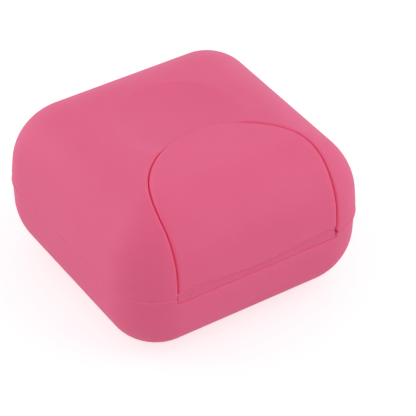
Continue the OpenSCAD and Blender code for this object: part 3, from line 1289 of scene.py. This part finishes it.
@dataclass(frozen=True)
class Pin:
    """A steel rod with chamfered ends, lying along X."""

    name: str
    node: str
    chamfer: float = 0.18
    shoulder: float = 0.72
    sides: int = 48
    crease: float = 35.0

    def mesh(self) -> bpy.types.Object:
        """Turns the rod to the length and thickness of its CAD node.

        Returns:
            The rod.
        """
        low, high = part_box(self.node)
        radius = (high.z - low.z) / 2
        centre = (low + high) / 2
        cut, shoulder = self.chamfer * MM, self.shoulder * MM
        end = [(0.0, radius - cut), (cut, radius), (shoulder, radius)]
        rings = [(low.x + d, r) for d, r in end] + [(high.x - d, r) for d, r in reversed(end)]
        points = [
            (x, centre.y + r * math.cos(a), centre.z + r * math.sin(a))
            for x, r in rings
            for a in (2 * math.pi * i / self.sides for i in range(self.sides))
        ]
        n = self.sides
        last = (len(rings) - 1) * n
        faces = [
            (k + (i + 1) % n, k + n + (i + 1) % n, k + n + i, k + i)
            for k in range(0, last, n)
            for i in range(n)
        ]
        faces += [tuple(reversed(range(n))), tuple(last + i for i in range(n))]
        mesh = bpy.data.meshes.new(self.name)
        mesh.from_pydata(points, [], faces)
        mesh.polygons.foreach_set("use_smooth", [len(face) == 4 for face in faces])
        mesh.set_sharp_from_angle(angle=math.radians(self.crease))
        return new_object(self.name, mesh)


def run_tree(
    name: str, group: bpy.types.NodeTree, values: dict[str, float | int | bpy.types.Material]
) -> bpy.types.Object:
    """Runs a geometry tree on an empty mesh and keeps what it makes.

    Args:
        name: Name of the new piece.
        group: The geometry tree.
        values: Its inputs by name.

    Returns:
        Object with the tree's result as a plain mesh.
    """
    holder = new_object(name, bpy.data.meshes.new(name + "_seed"))
    grower = holder.modifiers.new("grow", "NODES")
    grower.node_group = group
    sockets = {s.name: s.identifier for s in group.interface.items_tree if s.in_out == "INPUT"}
    for label, value in values.items():
        grower[sockets[label]] = value
    return plain_copy(holder, name)


@dataclass
class Seal:
    """The silicone ring: a rounded strip swept round a rounded rectangle."""

    round_r: float = 0.4
    corner_steps: int = 20
    round_steps: int = 5

    def tree(self) -> bpy.types.NodeTree:
        """Builds the tree that sweeps the strip.

        Returns:
            Geometry tree with the ring's sizes as inputs.
        """
        tree, given, result = ShapeTree.group(
            "seal_sweep",
            {
                Kind.SHAPE: ("Shape",),
                Kind.NUMBER: (
                    "Width",
                    "Depth",
                    "Corner Radius",
                    "Strip Width",
                    "Strip Height",
                    "Strip Round",
                ),
                Kind.VECTOR: ("Centre",),
                Kind.FINISH: ("Finish",),
            },
            {Kind.SHAPE: ("Shape",)},
        )
        size = given.outputs
        corner, strip = size["Corner Radius"], size["Strip Round"]
        course = tree.frame(size["Width"], size["Depth"], corner, self.corner_steps)
        section = tree.frame(size["Strip Width"], size["Strip Height"], strip, self.round_steps)
        swept = tree.add("GeometryNodeCurveToMesh", {0: course, 1: section})
        tree.close(swept.outputs[0], given, result)
        return tree.tree

    def mesh(self, finish: bpy.types.Material) -> bpy.types.Object:
        """Sweeps the ring to the box of its CAD node.

        Args:
            finish: Its material.

        Returns:
            The ring.
        """
        low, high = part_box("seal_ring")
        wide = SIZES.seal_w * MM
        tall = high.z - low.z
        return run_tree(
            "rim_seal",
            self.tree(),
            {
                "Width": high.x - low.x - wide,
                "Depth": high.y - low.y - wide,
                "Corner Radius": SIZES.seal_r * MM - wide / 2,
                "Strip Width": wide,
                "Strip Height": tall,
                "Strip Round": self.round_r * MM,
                "Centre": tuple((low + high) / 2),
                "Finish": finish,
            },
        )


@dataclass
class Rack:
    """The drain rack: a plate with slots in a row and a rib between each two."""

    corner: float = 10.5
    thick: float = 1.8
    slots: int = 9
    slot_w: float = 2.6
    border: float = 6.0
    share: float = 0.9
    rib_w: float = 1.6
    rib_top: float = 0.704
    rib_short: float = 3.0
    corner_steps: int = 16
    slot_steps: int = 8
    slot_round: float = 0.4999
    crown_steps: int = 4
    crown: float = 0.34
    edge_r: float = 0.3
    edge_steps: int = 3
    edge_angle: float = 50.0

    def tree(self) -> bpy.types.NodeTree:
        """Builds the tree that cuts the slots and sets the ribs.

        Returns:
            Geometry tree with the rack's sizes as inputs.
        """
        tree, given, result = ShapeTree.group(
            "rack_pattern",
            {
                Kind.SHAPE: ("Shape",),
                Kind.COUNT: ("Slot Count",),
                Kind.NUMBER: (
                    "Width",
                    "Depth",
                    "Corner Radius",
                    "Thickness",
                    "Slot Pitch",
                    "Slot Width",
                    "Slot Length",
                    "Rib Foot",
                    "Rib Top",
                    "Rib Height",
                    "Rib Length",
                ),
                Kind.VECTOR: ("Centre",),
                Kind.FINISH: ("Finish",),
            },
            {Kind.SHAPE: ("Shape",)},
        )
        size = given.outputs
        count, pitch, thick = size["Slot Count"], size["Slot Pitch"], size["Thickness"]
        rim = tree.frame(size["Width"], size["Depth"], size["Corner Radius"], self.corner_steps)
        slot_round = tree.math("MULTIPLY", size["Slot Width"], self.slot_round)
        slot = tree.frame(size["Slot Width"], size["Slot Length"], slot_round, self.slot_steps)
        slots = tree.add(
            "GeometryNodeRealizeInstances", {0: tree.spread(tree.row(count, pitch), slot)}
        )
        outline = tree.join(rim, slots.outputs[0])
        sheet = tree.add("GeometryNodeFillCurve", {0: outline}, mode="TRIANGLES")
        panel = tree.solid(sheet.outputs[0], thick)

        rib = tree.add(
            "GeometryNodeCurvePrimitiveQuadrilateral",
            {
                "Height": size["Rib Height"],
                "Bottom Width": size["Rib Foot"],
                "Top Width": size["Rib Top"],
                "Offset": 0.0,
            },
            mode="TRAPEZOID",
        )
        crown = tree.math("MULTIPLY", size["Rib Top"], self.crown)
        crowned = tree.fillet(rib.outputs[0], crown, self.crown_steps)
        end = tree.add("GeometryNodeFillCurve", {0: crowned}, mode="NGONS")
        bar = tree.solid(end.outputs[0], size["Rib Length"])
        lift = tree.math("MULTIPLY_ADD", size["Rib Height"], 0.5, thick)
        half = tree.math("MULTIPLY", size["Rib Length"], 0.5)
        laid = tree.add(
            "GeometryNodeTransform",
            {
                "Geometry": bar,
                "Translation": tree.combine(y=half, z=lift),
                "Rotation": (math.pi / 2, 0.0, 0.0),
            },
        )
        between = tree.row(tree.math("SUBTRACT", count, 1.0), pitch)
        ribs = tree.spread(between, laid.outputs[0])
        tree.close(tree.join(panel, ribs), given, result)
        return tree.tree

    def mesh(self, finish: bpy.types.Material) -> bpy.types.Object:
        """Makes the rack to the box of its CAD node, with its edges rounded.

        Args:
            finish: Its material.

        Returns:
            The rack.
        """
        low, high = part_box("drain_rack")
        wide, deep = high.x - low.x, high.y - low.y
        slot_l = deep - 2 * self.border * MM
        grown = run_tree(
            "soap_rack",
            self.tree(),
            {
                "Width": wide,
                "Depth": deep,
                "Corner Radius": self.corner * MM,
                "Thickness": self.thick * MM,
                "Slot Count": self.slots,
                "Slot Pitch": self.share * wide / self.slots,
                "Slot Width": self.slot_w * MM,
                "Slot Length": slot_l,
                "Rib Foot": self.rib_w * MM,
                "Rib Top": self.rib_top * MM,
                "Rib Height": high.z - low.z - self.thick * MM,
                "Rib Length": slot_l - 2 * self.rib_short * MM,
                "Centre": ((low.x + high.x) / 2, (low.y + high.y) / 2, low.z),
                "Finish": finish,
            },
        )
        bevel = grown.modifiers.new("edges", "BEVEL")
        bevel.width = self.edge_r * MM
        bevel.segments = self.edge_steps
        bevel.limit_method = "ANGLE"
        bevel.angle_limit = math.radians(self.edge_angle)
        bevel.harden_normals = True
        return plain_copy(grown, "soap_rack")


# The studio


def outward(azimuth: float, elevation: float) -> Vector:
    """Unit vector away from the box, by its angles in degrees."""
    a, e = math.radians(azimuth), math.radians(elevation)
    return Vector((math.sin(a) * math.cos(e), -math.cos(a) * math.cos(e), math.sin(e)))


@dataclass(frozen=True)
class Softbox:
    """A square soft light that looks at the box."""

    name: str
    azimuth: float
    elevation: float
    watts: float
    distance: float = 0.9
    size: float = 0.7

    def place(self) -> None:
        """Sets the light up."""
        lamp = bpy.data.lights.new(self.name, "AREA")
        lamp.shape = "SQUARE"
        lamp.size = self.size
        lamp.energy = self.watts
        away = outward(self.azimuth, self.elevation)
        holder = new_object(self.name, lamp)
        holder.location = away * self.distance
        holder.rotation_euler = away.to_track_quat("Z", "Y").to_euler()


@dataclass
class Studio:
    """White table, even soft light, and the camera at the photograph's angle."""

    azimuth: float = -33.913
    elevation: float = 39.002
    roll: float = 0.808
    distance: float = 510.248
    focal: float = 187.27
    aim: tuple[float, float] = (6.057, -2.864)
    aim_height: float = 18.0
    sky: float = 0.57
    table_half: float = 1.6
    table_shade: float = 0.5
    table_glow: float = 0.17
    table_flare: float = 0.505
    lights: tuple[Softbox, ...] = (
        Softbox("left_back_low", azimuth=-135, elevation=18, watts=1.31),
        Softbox("left_back_high", azimuth=-135, elevation=45, watts=0.58),
        Softbox("left_low", azimuth=-90, elevation=18, watts=0.7),
        Softbox("right_back_low", azimuth=135, elevation=18, watts=0.28),
        Softbox("right_low", azimuth=90, elevation=18, watts=0.45),
        Softbox("right_front_low", azimuth=45, elevation=18, watts=1.16),
        Softbox("right_front_high", azimuth=45, elevation=45, watts=1.08),
    )

    def table(self) -> bpy.types.Object:
        """Makes the plain pale table.

        Returns:
            The table top.
        """
        half = self.table_half
        corners = [(-half, -half, 0), (half, -half, 0), (half, half, 0), (-half, half, 0)]
        mesh = bpy.data.meshes.new("table_top")
        mesh.from_pydata(corners, [], [(0, 1, 2, 3)])
        paint = bpy.data.materials.new("white_table")
        paint.use_nodes = True
        shader = paint.node_tree.nodes["Principled BSDF"]
        shader.inputs["Base Color"].default_value = (*[self.table_shade] * 3, 1.0)
        shader.inputs["Roughness"].default_value = 0.8
        shader.inputs["Specular IOR Level"].default_value = 0.2
        shader.inputs["Emission Color"].default_value = (1.0, 1.0, 1.0, 1.0)
        tree = Tree(paint.node_tree)
        seen = tree.add("ShaderNodeLightPath").outputs["Is Camera Ray"]
        glow = tree.math("MULTIPLY_ADD", seen, self.table_flare, self.table_glow)
        paint.node_tree.links.new(glow, shader.inputs["Emission Strength"])
        mesh.materials.append(paint)
        top = new_object("table_top", mesh)
        return top

    def camera(self) -> None:
        """Sets the camera up as the photograph's."""
        azimuth, roll = math.radians(self.azimuth), math.radians(self.roll)
        back = outward(self.azimuth, self.elevation)
        level = Vector((math.cos(azimuth), math.sin(azimuth), 0))
        upright = back.cross(level)
        right = level * math.cos(roll) + upright * math.sin(roll)
        up = upright * math.cos(roll) - level * math.sin(roll)
        target = Vector((0, 0, self.aim_height)) + self.aim[0] * right + self.aim[1] * up
        lens = bpy.data.cameras.new("photo_camera")
        lens.lens = self.focal
        lens.sensor_width = 36.0
        lens.clip_start = 0.01
        lens.clip_end = 20.0
        turned = Matrix((right, up, back)).transposed().to_4x4()
        holder = new_object("photo_camera", lens)
        holder.matrix_world = Matrix.Translation((target + back * self.distance) * MM) @ turned
        bpy.context.scene.camera = holder

    def set_up(self) -> None:
        """Sets up table, light and camera."""
        world = bpy.data.worlds.new("white_studio")
        world.use_nodes = True
        shade = world.node_tree.nodes["Background"]
        shade.inputs["Color"].default_value = (1.0, 1.0, 1.0, 1.0)
        shade.inputs["Strength"].default_value = self.sky
        scene = bpy.context.scene
        scene.world = world
        scene.view_settings.view_transform = "Standard"
        scene.view_settings.look = "None"
        self.table()
        for light in self.lights:
            light.place()
        self.camera()


def main() -> None:
    """Builds the studio and the box, piece by piece."""
    logging.basicConfig(level=logging.INFO, format="%(name)s: %(message)s")
    Studio().set_up()
    grain = surface_grain()
    finishes = (PINK, RACK_PINK, SILICONE, STEEL)
    pink, rack_pink, silicone, steel = (finish.material(grain) for finish in finishes)

    shell = Skinner(step=0.28, most=188_000)
    fine = Skinner(step=0.2, most=110_000)
    lid = shell.build("domed_lid", Lid().form, [-33, -32.4, 17.6], [33, 34.8, 40])
    dress(lid, pink, Part.LID, "lid_shell")
    base = shell.build("moulded_base", Base().form, [-32.7, -32.1, 0], [32.7, 34.8, 21])
    dress(base, pink, Part.BASE, "base_shell")
    tongue = fine.build("tongue", Tongue().form, [-21.4, -32.4, 17.3], [21.4, -4.5, 40])
    dress(tongue, pink, Part.LATCH, "latch_tongue")
    pins = {Part.LATCH: Pin("latch_rod", "latch_pin"), Part.BASE: Pin("lid_rod", "lid_pin")}
    for body, pin in pins.items():
        dress(pin.mesh(), steel, body, pin.node)
    dress(Seal().mesh(silicone), silicone, Part.BASE, "seal_ring")
    dress(Rack().mesh(rack_pink), rack_pink, Part.RACK, "drain_rack")


def plain(box: tuple[Vector, Vector]) -> list[list[float]]:
    """A box's corners as plain lists of numbers."""
    return [[float(v) for v in corner] for corner in box]


if __name__ == "__main__":
    main()
    bpy.context.view_layer.update()
